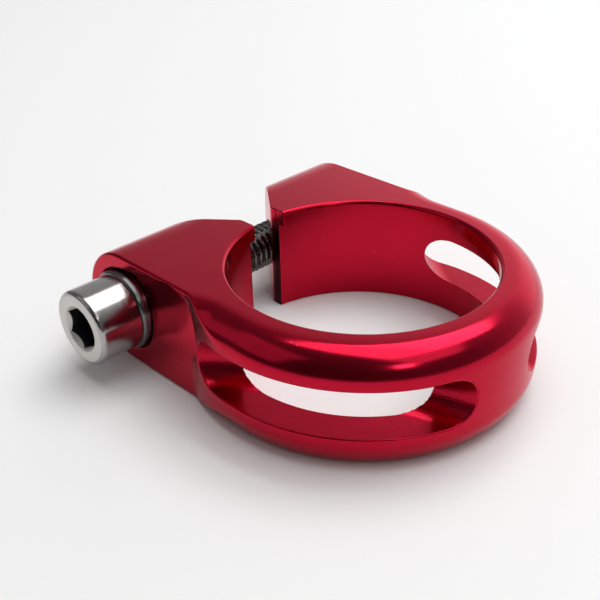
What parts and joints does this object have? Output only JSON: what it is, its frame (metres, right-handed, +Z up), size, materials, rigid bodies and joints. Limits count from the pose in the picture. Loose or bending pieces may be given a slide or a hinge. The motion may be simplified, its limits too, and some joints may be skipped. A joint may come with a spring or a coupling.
{
  "type": "seatpost clamp",
  "caption": "Split collar with two ears and lightening slots that one socket screw draws closed round a bicycle seat tube to hold the seatpost.",
  "frame": {"origin": "on the bore's axis, in the plane of the bottom face on which the clamp lies", "axes": "+Z up along the bore to the lip, +Y from the bore to the ears, the screw along X with its head towards -X"},
  "size_m": [0.0484, 0.0513, 0.0148],
  "materials": {
    "red_anodised": "polished and dyed deep red by anodising",
    "screw_steel": "bright turned stainless steel",
    "washer_steel": "plain turned stainless steel"
  },
  "bodies": {
    "ring": {"clamp_ring": "red_anodised"},
    "washer": {"washer": "washer_steel"},
    "bolt": {"clamp_bolt": "screw_steel"}
  },
  "joints": [
    {"name": "washer_slide", "type": "slide", "parent": "ring", "child": "washer", "axis": [-1, 0, 0], "range_m": [0, 0.008]},
    {"name": "bolt_turn", "type": "hinge", "parent": "washer", "child": "bolt", "pos_m": [0, 0.02225, 0.0074], "axis": [-1, 0, 0], "range_deg": [0, 2880]}
  ],
  "couplings": [
    {"joint": "bolt_turn", "follows": "washer_slide", "rad_per_m": 6283.2}
  ]
}
